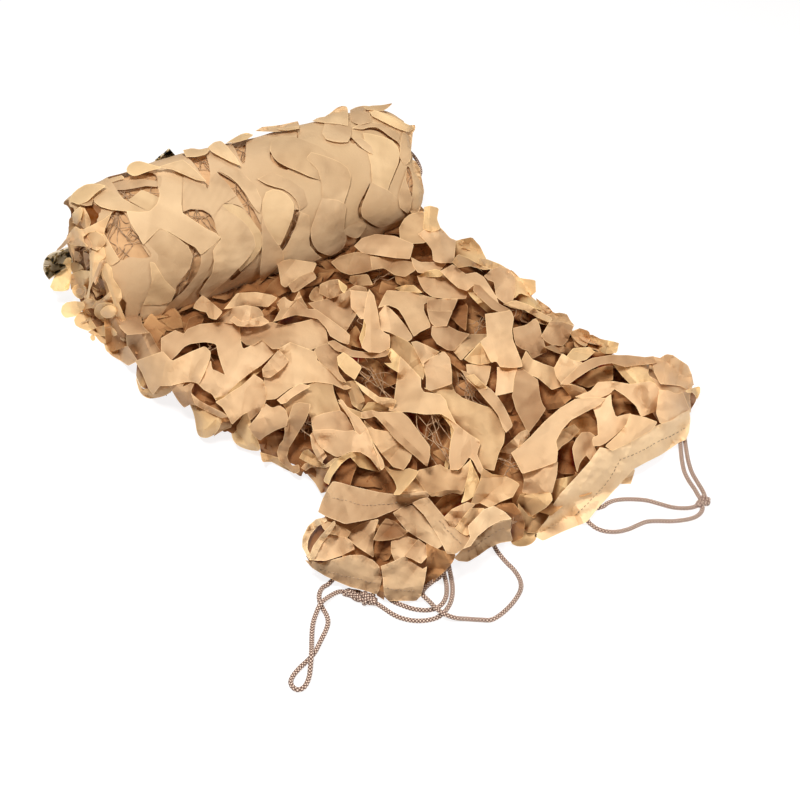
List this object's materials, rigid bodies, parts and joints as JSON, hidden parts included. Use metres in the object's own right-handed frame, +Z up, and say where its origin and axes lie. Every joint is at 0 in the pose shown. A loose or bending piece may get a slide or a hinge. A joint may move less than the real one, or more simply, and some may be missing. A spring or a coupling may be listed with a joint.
{
  "type": "camouflage netting",
  "caption": "Tan incised-cloth camouflage net folded into a long strip, rolled up from one end with the rest unrolled, with a sewn edge and drawcord loops.",
  "frame": {"origin": "middle of the folded net's box, on the surface it rests on, measured without the drawcord", "axes": "+X along the roll's axis, +Y from the free end towards the roll, +Z up"},
  "size_m": [0.4718, 0.6236, 0.1343],
  "materials": {
    "net_cloth": "thin satin-backed polyester cloth, desert tan, incised into leaves on a light twine mesh",
    "binding_cloth": "doubled tan cloth, crumpled and stitched",
    "braided_cord": "braided polyester cord, grey-beige",
    "printed_strap": "woven strap with a dark blotch print"
  },
  "bodies": {
    "root": {"netting": "net_cloth", "edge_band": "binding_cloth", "drawcord_left": "braided_cord", "drawcord_mid_outer": "braided_cord", "drawcord_mid_inner": "braided_cord", "drawcord_front": "braided_cord", "drawcord_run_a": "braided_cord", "drawcord_run_b": "braided_cord", "drawcord_tail_a": "braided_cord", "drawcord_tail_b": "braided_cord", "drawcord_back": "braided_cord", "knot_left": "braided_cord", "knot_right": "braided_cord", "tie_strap": "printed_strap"}
  },
  "joints": []
}
